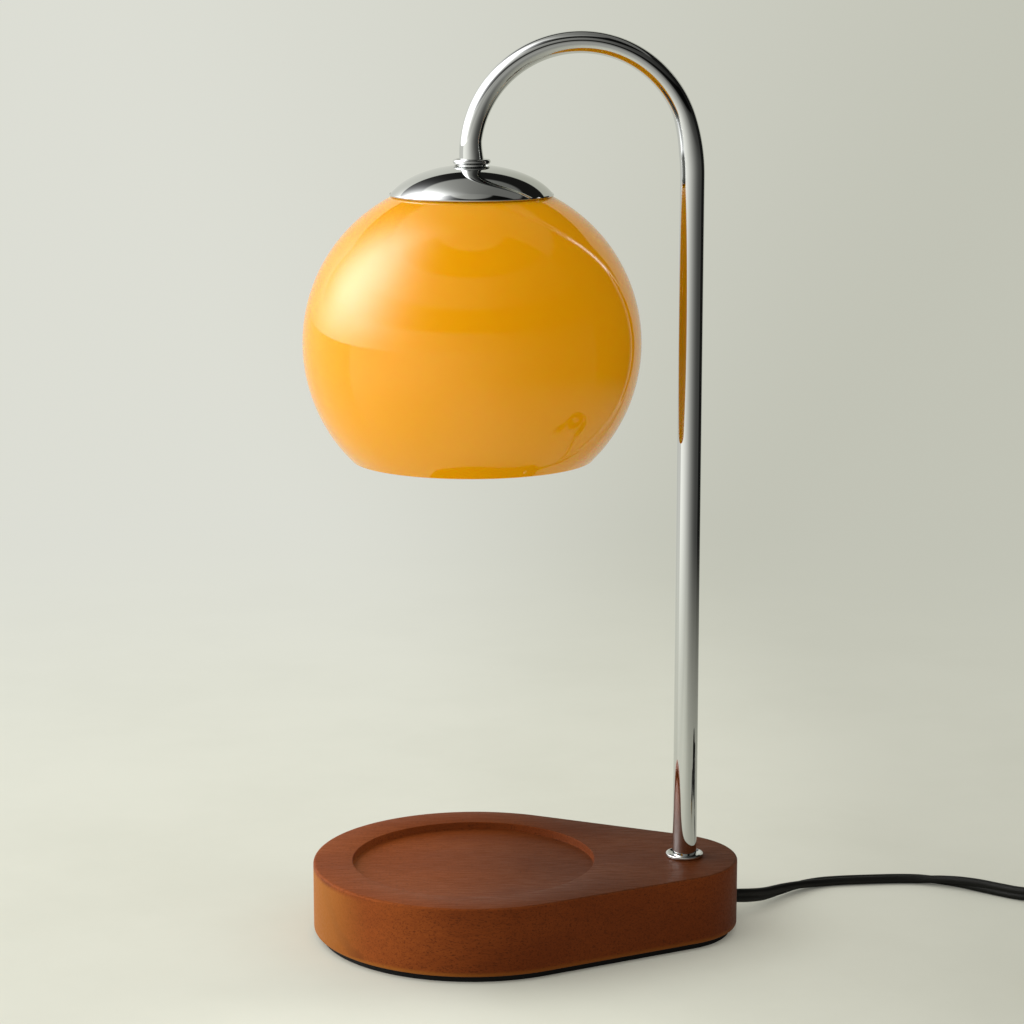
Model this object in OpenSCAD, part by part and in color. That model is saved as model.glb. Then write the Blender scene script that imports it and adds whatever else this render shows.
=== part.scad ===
// Candle warmer lamp: a teardrop wooden base, a chromed gooseneck, a glass shade
// with a chromed cap, a reflector bulb that melts the candle from above, and a
// mains cord with an in-line dimmer and a plug.
// Origin: underside of the base pad, on the shared axis of shade and candle.
// +X runs from that axis to the post, +Z is up.

/* [Wooden base] */
// Radius of the big round end, under the candle
base_r = 59; // [57:0.5:61]
// Radius of the small round end, under the post
tail_r = 29.5; // [28:0.5:31]
// Distance between the centres of the two round ends
tail_x = 68; // [66:0.5:70]
// Thickness of the wood
base_h = 25; // [25:0.5:27]
// Thickness of the black foam pad glued under it
pad_h = 2.5; // [2:0.1:3]
// How far the pad's edge stands back from the wood's
pad_inset = 2.6; // [2:0.1:4]
// Radius of the round recess that the candle stands in
recess_r = 44.5; // [42:0.5:46]
// Depth of that recess
recess_d = 3; // [2:0.5:4]
// Depth of the wiring pocket cut into the underside
pocket_d = 15; // [14.5:0.5:16]
// Radius of the wiring pocket's round ends
pocket_r = 22; // [21.5:0.5:23]

/* [Post and arch] */
// Height of the whole lamp, to the top of the arch
lamp_h = 328.5; // [325:0.5:345]
// Distance from the shade's axis to the post's axis
reach = 78; // [77.5:0.1:78.5]
// Outer diameter of the tube
tube_d = 8.8; // [8.6:0.1:9]
// Wall of the tube
tube_wall = 0.8; // [0.7:0.05:0.9]
// Bend radius of the arch on the post's side, up to its top
post_bend_r = 40; // [38:0.5:41]
// Diameter of the chromed flange at the foot of the post
flange_d = 13.9; // [13:0.1:16]

/* [Shade and cap] */
// Radius of the glass profile's arc
glass_r = 58.8; // [58.5:0.1:59]
// How far that arc's centre stands off the axis
glass_bulge = 1.6; // [1.4:0.1:1.8]
// Height of the widest part of the glass
glass_z = 218.6; // [218.4:0.1:218.8]
// Thickness of the glass
glass_t = 3; // [2.8:0.1:3.2]
// Radius of the open mouth at the bottom
mouth_r = 44; // [42:0.5:46]
// Radius of the hole at the top of the glass
crown_r = 21; // [20.8:0.1:21.3]
// Radius of the chromed cap at its rolled rim
cap_r = 29; // [28.8:0.1:29.2]
// Radius of the cap's dome
dome_r = 46.2; // [45.8:0.1:46.6]

/* [Lamp holder and bulb] */
// Diameter of the bulb's front
bulb_d = 50; // [49:0.5:51]
// Length of the bulb without its pins
bulb_l = 46.5; // [46:0.5:48]
// Distance between the two pins
pin_pitch = 10; // [10:0.1:10.1]
// Angle the bulb turns to lock
twist_angle = 30; // [28:1:32]

/* [Mains cord] */
// Width of the flat two-core cord
cord_w = 5.2; // [5:0.1:5.4]
// Thickness of the flat cord
cord_t = 3; // [2.8:0.1:3]
// Number of loops in the stored coil
coil_turns = 8.25; // [7.25:1:8.25]
// Radius of the coil's outermost loop
coil_r = 37; // [36.8:0.1:37.2]
// Step from one loop to the next beside it
loop_step = 3.6; // [3.6:0.05:3.7]
// Step from the lower layer of loops to the upper one
layer_step = 5.8; // [5.8:0.05:6]

/* [Dimmer and plug] */
// Length of the in-line dimmer
dimmer_l = 50; // [50:0.5:51]
// Width of the dimmer
dimmer_w = 24; // [24:0.5:25]
// Height of the dimmer
dimmer_h = 16; // [16:0.5:18]
// Radius of the thumb wheel
wheel_r = 11; // [10.5:0.1:11]
// Length of the plug's body
plug_l = 28; // [26:1:30]
// Width of the plug's body
plug_w = 24; // [23:0.5:25]
// Height of the plug's body
plug_h = 13.5; // [13:0.5:14]

/* [Hidden] */
$fn = 96;
eps = 0.01;          // overlap that keeps cuts clean
far = 200;           // longer than any cut needs

// Wood
wood_z = pad_h;
top_z = pad_h + base_h;
seat_z = top_z - recess_d;
pocket_z = wood_z + pocket_d;
pocket_x = 48;       // centre of the pocket's inner end; its outer end is at tail_x
slit = 0.05;         // radial clearance of a shaft in its hole

// Tube and its bends
tube_r = tube_d / 2;
bore_r = tube_r - tube_wall;
neck_bend_r = reach - post_bend_r;
arch_z = lamp_h - tube_r;              // middle of the tube at the top of the arch
foot_z = top_z + 0.8;    // the tube stands on the flange's floor
cap_z = 281.3;           // flat top of the cap, under the neck washer
collar_z = cap_z + 0.9;
neck_z = collar_z + 1.4; // end of the tube on the collar

// Threaded hollow studs at both ends of the tube
stud_r = 4;
stud_bore = 2.25;
foot_stud_z = 8;
neck_stud_z = 267.6;
nut_af = 13;

// Cap, gallery and rings
sheet = 0.8;
bead_r = 0.6;
rim_z = glass_z + sqrt(pow(glass_r, 2) - pow(cap_r - bead_r - glass_bulge, 2)) + bead_r + 0.1;
apex_z = cap_z + 0.45;
dome_z = apex_z - dome_r;
gallery_r = 19;
gallery_z = 276;
gallery_low = 261;
ring_z = 267.6;

// Lamp holder
socket_top = 262.4;
socket_low = 246.4;
socket_r = 13.5;
cavity_low = 250.4;
cavity_top = 254.4;
screw_x = 9.5;

// Bulb
bulb_top = socket_low - 0.3;
face_z = bulb_top - bulb_l;
bulb_r = bulb_d / 2;
bowl_r = 36.85;
bowl_off = bowl_r - bulb_r + 0.15;
bowl_z = face_z + 1.6;

// Wires
wire_r = 1;
wire_y = 1.05;
wire_low = 5.4;
leg_z = 7.6;
crimp_x = 46;
crimp_y = [12, -2];

// Wires in the pocket, each from its crimp connector
back_wire = [[38, 12, wire_low], [48, 12, wire_low], [54, 8.5, wire_low], [60, 4, wire_low],
    [68, 1.6, wire_low], [74.5, wire_y, wire_low], [77.1, wire_y, 6], [reach, wire_y, 8]];
front_wire = [[38, -2, wire_low], [48, -2, wire_low], [58, -2, wire_low], [68, -1.4, wire_low],
    [74.5, -wire_y, wire_low], [77.1, -wire_y, 6], [reach, -wire_y, 8]];
upper_core = [[59.9, 14, 8.7], [57, 13, 8.7], [53.5, 8, 8.6], [50.5, 1.5, 8.2], [47.5, -2, leg_z],
    [38, -2, leg_z]];
lower_core = [[59.9, 14, 6.1], [56, 13.9, 6.2], [52, 12.6, 7], [47.5, 12, leg_z], [38, 12, leg_z]];

// The wire's path up the post and round the arch, y off the tube's axis
function arm_wire(y) = concat([[reach, y, 12], [reach, y, arch_z - post_bend_r]],
    [for (a = [10 : 10 : 90]) [neck_bend_r + post_bend_r * cos(a), y,
        arch_z + post_bend_r * (sin(a) - 1)]],
    [for (a = [100 : 10 : 180]) [neck_bend_r + neck_bend_r * cos(a), y,
        arch_z + neck_bend_r * (sin(a) - 1)]]);

// Where the cord leaves the wood
exit_angle = 25;
exit_z = 7.4;
exit_dir = [cos(exit_angle), sin(exit_angle)];
exit_x = tail_x + tail_r * exit_dir.x;
exit_y = tail_r * exit_dir.y;
clamp_at = [60, 68];
clamp_y = 14;

// Routes: x, y, z and the roll of the flat cord, 0 on edge and 90 lying flat
inner_route = [[60, 14, 7.4, 0], [68, 14, 7.4, 0], [74, 13.6, 7.4, 0], [80, 11.2, 7.4, 0],
    [84.5, 8.7, 7.4, 0], [87.4, 9.05, 7.4, 0], [exit_x, exit_y, exit_z, 0]];
lead_route = [[exit_x, exit_y, exit_z, 0], [100, 15.4, 6.7, 0], [104.6, 18.8, 5.6, 0],
    [111, 25.2, 4, 15], [118.6, 33, 3.2, 40], [126.6, 40, 2.5, 70], [135, 45.2, 1.8, 90],
    [143, 47.2, 1.7, 90], [151, 48, 1.7, 90], [159, 48.5, 1.7, 90], [167, 48.7, 1.7, 90],
    [174.6, 47.8, 1.8, 85], [182, 45, 2.2, 60], [189, 40.9, 2.6, 35], [195.7, 36.2, 2.7, 10],
    [202.4, 31.3, 2.6, 0], [209, 26.4, 2.7, 0], [215.4, 22.9, 3.3, 0], [221.4, 21.3, 4.4, 0],
    [226.8, 21, 5.4, 0], [232, 21, 5.6, 0], [237, 21, 5.6, 0]];
link_route = [[277, 21, 5.6, 0], [282, 21, 5.6, 0], [289, 21, 5.1, 0], [296, 21, 4.3, 0],
    [305.2, 19.2, 3.7, 0], [313, 14, 3.6, 0], [318.2, 6.2, 3.6, 0], [320, -3, 3.6, 0],
    [320, -14, 3.6, 0], [320, -24, 3.6, 0], [320, -34, 3.6, 0]];
tail_route = [[283, -71, 9.4, 0], [279, -71, 9.4, 0], [273, -71, 8.6, 0], [267, -71, 7.1, 0],
    [262, -71, 6.75, 0]];
coil_at = [283, -34];
coil_low = 3.6;          // middle of the lower layer, lifted by the tie below it
coil_rings = 24;

// Dimmer
dimmer_x = 232;
dimmer_y = 21;
dimmer_wall = 1.6;
split_z = 8.2;
entry_z = 5.6;
wheel_x = dimmer_x + 27;
wheel_y = dimmer_y + dimmer_w / 2 + 2.5 - wheel_r;
wheel_z = 7.4;
wheel_t = 3.8;
shaft_r = 2.95;
dimmer_screw_at = [[8, -8.6], [42, -8.6]];

// Plug
plug_x = 240;
plug_y = -71;
plug_z = plug_h / 2;
sleeve_l = 22;
blade_pitch = 12.7;

// ---------------------------------------------------------------- helpers

// Teardrop slab: two round ends and the straight sides that touch both.
module slab(inset, h) {
    r1 = base_r - inset;
    r2 = tail_r - inset;
    lean = acos((r1 - r2) / tail_x);
    p = [r1 * cos(lean), r1 * sin(lean)];
    q = [tail_x + r2 * cos(lean), r2 * sin(lean)];
    cylinder(r = r1, h = h);
    translate([tail_x, 0, 0]) cylinder(r = r2, h = h);
    linear_extrude(h) polygon([p, q, [q.x, -q.y], [p.x, -p.y]]);
}

// A disc or ring standing on z, with an optional hole.
module ring(r, hole, z, h) {
    translate([0, 0, z]) difference() {
        cylinder(r = r, h = h);
        if (hole > 0) translate([0, 0, -1]) cylinder(r = hole, h = h + 2);
    }
}

module hex_nut(z, h) {
    translate([0, 0, z]) difference() {
        cylinder(r = nut_af / 2 / cos(30), h = h, $fn = 6);
        translate([0, 0, -1]) cylinder(r = stud_r + slit, h = h + 2);
    }
}

// A split spring washer: a thick ring with a slanting cut.
module spring_washer(z, h) {
    difference() {
        ring(nut_af / 2, stud_r + slit, z, h);
        translate([0, 0, z + h / 2]) rotate([30, 0, 0]) translate([0, -0.5, -far / 2])
            cube([far, 1, far]);
    }
}

// A quarter bend of the profile, from the post's side (turn 0) or the neck's (turn 90).
module quarter_bend(r, turn) {
    translate([neck_bend_r, 0, arch_z - r]) rotate([90, -turn, 0])
        rotate_extrude(angle = 90) translate([r, 0]) children();
}

// A box with rounded upright corners, centred in x and y.
module pill_box(l, w, h, r) {
    linear_extrude(h) {
        square([l - 2 * r, w], center = true);
        square([l, w - 2 * r], center = true);
        for (x = [-1, 1], y = [-1, 1]) translate([x * (l / 2 - r), y * (w / 2 - r)]) circle(r);
    }
}

// ---------------------------------------------------------------- swept cord

function unit(v) = v / norm(v);

// Direction of a route at point i, level with the ground at both ends.
function heading(route, i) =
    let (n = len(route) - 1, a = route[max(i - 1, 0)], b = route[min(i + 1, n)])
    unit([b.x - a.x, b.y - a.y, (i == 0 || i == n) ? 0 : b.z - a.z]);

// One cross-section of the flat cord, sides points round, at a route point.
function section(route, i, sides) =
    let (p = route[i], t = heading(route, i), side = unit([-t.y, t.x, 0]), up = cross(t, side),
        s = side * cos(p[3]) + up * sin(p[3]), u = up * cos(p[3]) - side * sin(p[3]))
    [for (k = [0 : sides - 1]) let (a = 360 * (k + 0.5) / sides, r = cord_t / 2 / cos(180 / sides))
        [p.x, p.y, p.z] + s * r * cos(a) + u * (r * sin(a) + sign(sin(a)) * (cord_w - cord_t) / 2)];

// Skin through the rings, two triangles to a facet, and both ends closed.
module skin(rings) {
    m = len(rings[0]);
    n = len(rings);
    polyhedron(points = [for (r = rings) each r], faces = concat(
        [for (i = [0 : n - 2], k = [0 : m - 1]) let (k2 = (k + 1) % m)
            [i * m + k, (i + 1) * m + k, (i + 1) * m + k2]],
        [for (i = [0 : n - 2], k = [0 : m - 1]) let (k2 = (k + 1) % m)
            [i * m + k, (i + 1) * m + k2, i * m + k2]],
        [for (k = [1 : m - 2]) [0, k, k + 1]],
        [for (k = [1 : m - 2]) let (b = (n - 1) * m) [b, b + k + 1, b + k]]));
}

module cord(route) {
    skin([for (i = [0 : len(route) - 1]) section(route, i, 8)]);
}

// Direction of a wire at point i, and a side vector carried along it without twist.
function wire_dir(route, i) =
    unit(route[min(i + 1, len(route) - 1)] - route[max(i - 1, 0)]);
function wire_side(route, i) =
    let (t = wire_dir(route, i), n = i == 0 ? [0.3, 1, 0.2] : wire_side(route, i - 1))
    unit(n - t * (n * t));

module wire(route) {
    skin([for (i = [0 : len(route) - 1]) let (n = wire_side(route, i), b = cross(wire_dir(route, i), n))
        [for (a = [0 : 45 : 315]) route[i] + wire_r * (cos(a) * n + sin(a) * b)]]);
}

// Coil: in along the lower layer, up at the innermost half turn, out along the upper one.
// u counts turns from the middle of the coil.
function ease(x) = x <= 0 ? 0 : x >= 1 ? 1 : x * x * (3 - 2 * x);
function loop_out(u) = u < 0.25 ? 0 : u < 0.75 ? 2 * (u - 0.25) : u + 0.25;
coil_half = coil_turns / 2;
coil_in = coil_r - loop_step * loop_out(coil_half);
function coil_radius(u) = coil_in + loop_step * loop_out(abs(u));
function coil_height(u) = coil_low + layer_step * ease((u + 0.25) / 0.5);
function coil_point(u) = let (a = -360 * (u + coil_half), r = coil_radius(u))
    [coil_at.x + r * cos(a), coil_at.y + r * sin(a), coil_height(u), 0];
coil_steps = coil_turns * coil_rings;
coil_u = [for (i = [0 : coil_steps]) i / coil_rings - coil_half];

// Least gap between a loop and any other at the same angle, measured on the points.
coil_gap = min([for (a = coil_u, k = [1 : coil_turns]) if (a + k <= coil_half)
    max(abs(coil_radius(a) - coil_radius(a + k)) - cord_t,
        abs(coil_height(a) - coil_height(a + k)) - cord_w)]);
function run_length(route) =
    len(route) < 2 ? 0 : let (s = [for (i = [1 : len(route) - 1])
        norm([for (k = [0 : 2]) route[i][k] - route[i - 1][k]])]) [for (x = s) 1] * s;
coil_route = [for (u = coil_u) coil_point(u)];
echo(coil_gap = coil_gap, coil_inner_radius = coil_in);
echo(lead = run_length(lead_route), link = run_length(link_route), coil = run_length(coil_route),
    tail = run_length(tail_route));

// ---------------------------------------------------------------- base

module base_block() {
    color("saddlebrown") difference() {
        translate([0, 0, wood_z]) slab(0, base_h);
        translate([0, 0, seat_z]) cylinder(r = recess_r, h = far);
        translate([0, 0, wood_z - 1]) linear_extrude(pocket_d + 1) {
            translate([pocket_x, 0]) circle(pocket_r);
            translate([tail_x, 0]) circle(pocket_r);
            translate([pocket_x, -pocket_r]) square([tail_x - pocket_x, 2 * pocket_r]);
        }
        translate([reach, 0, 0]) cylinder(r = stud_r + 0.2, h = far);
        translate([tail_x, 0, exit_z]) rotate([0, 90, exit_angle]) translate([0, 0, 15])
            cylinder(r = 3.2, h = far);
        for (y = [-4.3, 4.3]) translate([64, clamp_y + y, 0]) cylinder(r = 1.3, h = seat_z - 3.2);
    }
}

module base_pad() {
    color("#1a1a1a") slab(pad_inset, pad_h);
}

module base_washer() {
    color("silver") translate([reach, 0, 0]) ring(10.5, stud_r + 0.2, pocket_z - 1.5, 1.5);
}

module base_lock_washer() {
    color("gray") translate([reach, 0, 0]) spring_washer(pocket_z - 3.3, 1.8);
}

module base_nut() {
    color("silver") translate([reach, 0, 0]) hex_nut(pocket_z - 8.8, 5.5);
}

// Hollow threaded stud, pressed into the foot of the tube.
module foot_stud() {
    color("silver") translate([reach, 0, 0]) difference() {
        union() {
            translate([0, 0, foot_stud_z]) cylinder(r = stud_r, h = foot_z - foot_stud_z);
            translate([0, 0, foot_z]) cylinder(r = bore_r, h = 14);
        }
        translate([0, 0, foot_stud_z - 1]) cylinder(r = stud_bore, h = 60);
    }
}

// Dished flange: a floor that the tube stands on, and a wall round it.
module foot_flange() {
    color("gainsboro") translate([reach, 0, top_z]) rotate_extrude() difference() {
        union() {
            square([flange_d / 2 - 0.5, 1.5]);
            square([flange_d / 2, 0.8]);
            translate([flange_d / 2 - 0.7, 0.8]) circle(0.7);
        }
        translate([0, 0.8]) square([tube_r + slit, 5]);
        translate([0, -1]) square([stud_r + 0.2, 5]);
        translate([-5, -5]) square([far, 5]);
    }
}

module tube_profile() {
    difference() {
        circle(tube_r);
        circle(bore_r);
    }
}

module post_tube() {
    color("silver") {
        translate([reach, 0, foot_z]) linear_extrude(arch_z - post_bend_r - foot_z) tube_profile();
        quarter_bend(post_bend_r, 0) tube_profile();
        quarter_bend(neck_bend_r, 90) tube_profile();
        translate([0, 0, neck_z]) linear_extrude(arch_z - neck_bend_r - neck_z) tube_profile();
    }
}

// Nylon block screwed up into the pocket, gripping the cord on edge.
module cord_clamp() {
    color("ivory") difference() {
        translate([clamp_at[0], clamp_y - 6.5, 3]) cube([clamp_at[1] - clamp_at[0], 13, pocket_z - 3]);
        translate([0, clamp_y - cord_t / 2, exit_z - cord_w / 2]) cube([far, cord_t, cord_w]);
        for (y = [-4.3, 4.3]) translate([64, clamp_y + y, 0]) {
            cylinder(r = 1.3, h = far);
            cylinder(r = 2.1, h = 4.5);
        }
    }
}

module clamp_screws() {
    color("silver") for (y = [-4.3, 4.3]) translate([64, clamp_y + y, 3]) {
        cylinder(r = 2, h = 1.5);
        translate([0, 0, 1.5]) cylinder(r = 1.25, h = 16);
    }
}

module cord_inner() {
    color("#1c1c1c") cord(inner_route);
}

// Closed-end crimp connectors that join the cord's cores to the lamp's wires.
module crimp_caps() {
    color("whitesmoke") for (y = crimp_y) translate([crimp_x, y, (wire_low + leg_z) / 2])
        rotate([0, -90, 0]) difference() {
            union() {
                cylinder(r = 3, h = 12);
                translate([0, 0, 12]) sphere(3);
            }
            translate([0, 0, -1]) cylinder(r = 2.3, h = 12);
        }
}

// Two insulated wires, from the crimp connectors through the tube to the lamp holder,
// and the cord's two bared cores as far as the same connectors.
module lamp_wires() {
    color("white") {
        for (s = [-1, 1]) wire(concat(s < 0 ? front_wire : back_wire, arm_wire(s * wire_y),
            [[0, s * wire_y, neck_stud_z + 2], [0, s * wire_y, neck_stud_z - 0.6],
            [s * 2.4, s * 0.6, socket_top + 2.4], [s * 4, 0, socket_top + 0.4],
            [s * 4, 0, socket_top - 4]]));
        wire(upper_core);
        wire(lower_core);
    }
}

// ---------------------------------------------------------------- neck and shade

// Turned fitting: a spigot brazed into the tube, a collar, and a hollow threaded stud.
module neck_fitting() {
    color("gainsboro") difference() {
        union() {
            translate([0, 0, neck_stud_z]) cylinder(r = stud_r, h = collar_z - neck_stud_z + 0.5);
            translate([0, 0, collar_z]) cylinder(r = 5.6, h = neck_z - collar_z);
            translate([0, 0, (collar_z + neck_z) / 2]) rotate_extrude() translate([5.6, 0])
                circle((neck_z - collar_z) / 2);
            translate([0, 0, neck_z]) cylinder(r = bore_r - 0.1, h = 4.4);
        }
        translate([0, 0, neck_stud_z - 1]) cylinder(r = stud_bore, h = 60);
    }
}

module neck_washer() {
    color("silver") ring(6.6, stud_r + slit, cap_z, collar_z - cap_z);
}

// Spun dome with a rolled bead along its rim and a flat top for the washer.
module shade_cap() {
    color("gainsboro") rotate_extrude() {
        difference() {
            translate([0, dome_z]) circle(dome_r);
            difference() {
                translate([0, dome_z]) circle(dome_r - sheet);
                translate([0, cap_z - sheet]) square([far, far]);
            }
            translate([-far, -far]) square([2 * far, far + rim_z]);
            translate([-far, -far]) square([far, 3 * far]);
            translate([-1, cap_z]) square([far, far]);
            translate([-1, 0]) square([stud_r + 0.2 + 1, 2 * far]);
        }
        translate([cap_r - bead_r, rim_z]) circle(bead_r);
    }
}

// Half profile between two arcs of the glass, of radius r.
module glass_disc(r) {
    translate([glass_bulge, glass_z]) circle(r);
}

module cap_gasket() {
    color("#d8d8d8") rotate_extrude() difference() {
        intersection() {
            translate([crown_r + 0.6, glass_z]) square([4, far]);
            translate([0, dome_z]) circle(dome_r - sheet);
        }
        glass_disc(glass_r);
    }
}

module neck_spacer() {
    color("silver") ring(6.4, stud_r + slit, gallery_z, cap_z - sheet - gallery_z);
}

// Steel cup with an outside thread for the shade ring.
module shade_gallery() {
    color("silver") difference() {
        translate([0, 0, gallery_low]) cylinder(r = gallery_r, h = gallery_z - gallery_low);
        translate([0, 0, gallery_low - 1]) cylinder(r = gallery_r - 1.2,
            h = gallery_z - gallery_low + 1 - 1.2);
        translate([0, 0, gallery_low]) cylinder(r = stud_r + slit, h = far);
    }
}

// Screwed up from below, it presses the glass against the cap.
module shade_ring() {
    color("ivory") difference() {
        union() {
            translate([0, 0, ring_z - 2]) cylinder(r = 26.4, h = 2);
            translate([0, 0, ring_z - 6]) cylinder(r = 21.6, h = 6);
        }
        translate([0, 0, 200]) cylinder(r = gallery_r + slit, h = far);
        for (a = [0 : 15 : 345]) rotate([0, 0, a]) translate([22, 0, ring_z - 7])
            cylinder(r = 1, h = 5);
    }
}

module ring_gasket() {
    color("#d8d8d8") rotate_extrude() intersection() {
        translate([crown_r + 0.8, ring_z]) square([4.4, 10]);
        glass_disc(glass_r - glass_t, $fn = 360);
    }
}

module neck_lock_washer() {
    color("gray") spring_washer(gallery_z - 3.4, 1.2);
}

module neck_nut() {
    color("silver") hex_nut(gallery_z - 7.4, 4);
}

// Folded strap that hangs the lamp holder under the gallery's top.
module socket_bracket() {
    color("silver") difference() {
        union() {
            translate([-15.6, -6, gallery_z - 2.2]) cube([31.2, 12, 1]);
            for (s = [-1, 1]) {
                translate([s * 15.1 - 0.5, -6, socket_top]) cube([1, 12, gallery_z - 1.2 - socket_top]);
                translate([s * 10.8 - 4.8, -6, socket_top]) cube([9.6, 12, 1]);
            }
        }
        translate([0, 0, gallery_z - 4]) cylinder(r = stud_r + slit, h = 4);
        for (s = [-1, 1]) translate([s * screw_x, 0, socket_top - 1]) cylinder(r = 1.6, h = 3);
    }
}

// Ceramic holder: curved slots take the bulb's pins, and a quarter of a turn less locks them.
module lamp_socket() {
    color("white") difference() {
        translate([0, 0, socket_low]) cylinder(r = socket_r, h = socket_top - socket_low);
        for (side = [0, 180]) rotate([0, 0, side]) {
            pin_track(1.6, socket_low - 1, cavity_low + 1);
            pin_track(2.65, cavity_low, cavity_top);
            translate([pin_pitch / 2, 0, socket_low - 1]) cylinder(r = 1.75, h = cavity_low - socket_low + 2);
            translate([pin_pitch / 2, 0, cavity_low]) cylinder(r = 2.8, h = cavity_top - cavity_low);
            rotate([0, 0, -twist_angle]) translate([pin_pitch / 2, 0, socket_low - 1])
                cylinder(r = 2.8, h = cavity_top - socket_low + 1);
            translate([4, 0, cavity_top - 1]) cylinder(r = wire_r + 0.1, h = far);
            translate([screw_x, 0, cavity_top + 0.6]) cylinder(r = 1.55, h = far);
        }
    }
}

// Curved slot of half width w, along the path of one pin.
module pin_track(w, z0, z1) {
    translate([0, 0, z0]) rotate([0, 0, -twist_angle]) rotate_extrude(angle = twist_angle)
        translate([pin_pitch / 2 - w, 0]) square([2 * w, z1 - z0]);
}

module socket_screws() {
    color("silver") for (s = [-1, 1]) translate([s * screw_x, 0, 0]) {
        translate([0, 0, socket_top + 1]) cylinder(r = 2.8, h = 2);
        translate([0, 0, cavity_top + 1]) cylinder(r = 1.5, h = socket_top - cavity_top + eps);
    }
}

// Brass leaves over the pins, each on a rivet that ends at a wire.
module socket_contacts() {
    color("goldenrod") for (s = [-1, 1]) {
        translate([s * 4.6 - 1.8, -1.6, cavity_top - 0.6]) cube([3.6, 3.2, 0.6]);
        translate([s * 4, 0, cavity_top - 0.5]) cylinder(r = wire_r, h = socket_top - 5 - cavity_top + 0.5);
    }
}

module glass_shade() {
    color("orange", 0.9) rotate_extrude() difference() {
        glass_disc(glass_r);
        glass_disc(glass_r - glass_t);
        translate([-far, -far]) square([2 * far, far + glass_z - sqrt(pow(glass_r, 2)
            - pow(mouth_r - glass_bulge, 2))]);
        translate([-far, glass_z]) square([far + crown_r, far]);
        translate([-far, 0]) square([far, 2 * far]);
    }
}

// ---------------------------------------------------------------- bulb

module bulb_base() {
    color("white") difference() {
        union() {
            translate([0, 0, bulb_top - 11]) cylinder(r = 13, h = 11);
            translate([0, 0, bulb_top - 15]) cylinder(r1 = 11.6, r2 = 13, h = 4);
        }
        translate([0, 0, bulb_top - 16]) cylinder(r = 10.4, h = 7);
        for (s = [-1, 1]) translate([s * pin_pitch / 2, 0, bulb_top - 6]) cylinder(r = 1.5, h = 8);
    }
}

// Two pins with wider heads, the twist-lock of the bulb.
module bulb_pins() {
    color("silver") for (s = [-1, 1]) translate([s * pin_pitch / 2, 0, 0]) {
        translate([0, 0, bulb_top - 6]) cylinder(r = 1.5, h = 11);
        translate([0, 0, bulb_top + 4.8]) cylinder(r = 2.45, h = 2.2);
    }
}

// Pressed glass bowl, mirrored inside.
module bulb_reflector() {
    color("lightsteelblue") rotate_extrude() difference() {
        translate([-bowl_off, bowl_z]) circle(bowl_r);
        translate([-bowl_off, bowl_z]) circle(bowl_r - 1.5);
        translate([-far, -far]) square([2 * far, far + face_z]);
        translate([-far, bulb_top - 14]) square([2 * far, far]);
        translate([-far, 0]) square([far, 2 * far]);
    }
}

module bulb_lens() {
    color("aliceblue", 0.5) translate([0, 0, face_z + 0.3]) cylinder(r = bulb_r - 1.75, h = 2);
}

// Quartz capsule with its flat pinch.
module bulb_capsule() {
    color("white", 0.6) union() {
        translate([0, 0, face_z + 15]) cylinder(r = 4.5, h = 11);
        translate([0, 0, face_z + 15]) sphere(4.5);
        translate([-3.5, -1.5, face_z + 25]) cube([7, 3, 12.4]);
    }
}

// ---------------------------------------------------------------- cord, dimmer, plug

module cord_lead() {
    color("#1c1c1c") cord(lead_route);
}

module cord_link() {
    color("#1c1c1c") cord(link_route);
}

module cord_coil() {
    color("#1c1c1c") skin([for (i = [0 : len(coil_route) - 1]) section(coil_route, i, 6)]);
}

module cord_tail() {
    color("#1c1c1c") cord(tail_route);
}

// A strap closed round all the loops, on the side away from the dimmer's cord.
module coil_tie() {
    w = coil_r - coil_in + cord_t + 0.4;
    h = layer_step + cord_w + 0.4;
    mid = coil_at.x - (coil_r + coil_in) / 2;
    color("#262626") translate([mid, coil_at.y, 0.8 + h / 2]) difference() {
        cube([w + 1.6, 10, h + 1.6], center = true);
        cube([w, 12, h], center = true);
    }
}

// The slot that the thumb wheel turns in, and the two cord entries.
module dimmer_cuts() {
    translate([wheel_x, wheel_y, wheel_z - 0.4]) cylinder(r = wheel_r + 0.6, h = wheel_t + 0.8);
    translate([dimmer_x - 1, dimmer_y - cord_t / 2 - 0.15, entry_z - cord_w / 2 - 0.15])
        cube([dimmer_l + 2, cord_t + 0.3, cord_w + 0.3]);
}

module dimmer_shell(z0, z1) {
    translate([dimmer_x + dimmer_l / 2, dimmer_y, z0]) pill_box(dimmer_l, dimmer_w, z1 - z0, 6);
}

module dimmer_hollow(z0, z1) {
    translate([dimmer_x + dimmer_l / 2, dimmer_y, z0])
        pill_box(dimmer_l - 2 * dimmer_wall, dimmer_w - 2 * dimmer_wall, z1 - z0, 4.4);
}

module dimmer_bottom() {
    color("#202020") difference() {
        union() {
            difference() {
                dimmer_shell(0, split_z);
                dimmer_hollow(dimmer_wall, split_z + 1);
            }
            for (p = dimmer_screw_at) translate([dimmer_x + p.x, dimmer_y + p.y, 0])
                cylinder(r = 2.6, h = split_z);
        }
        dimmer_cuts();
        for (p = dimmer_screw_at) translate([dimmer_x + p.x, dimmer_y + p.y, -1]) {
            cylinder(r = 1.35, h = far);
            cylinder(r = 2.1, h = 2.8);
        }
    }
}

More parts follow.
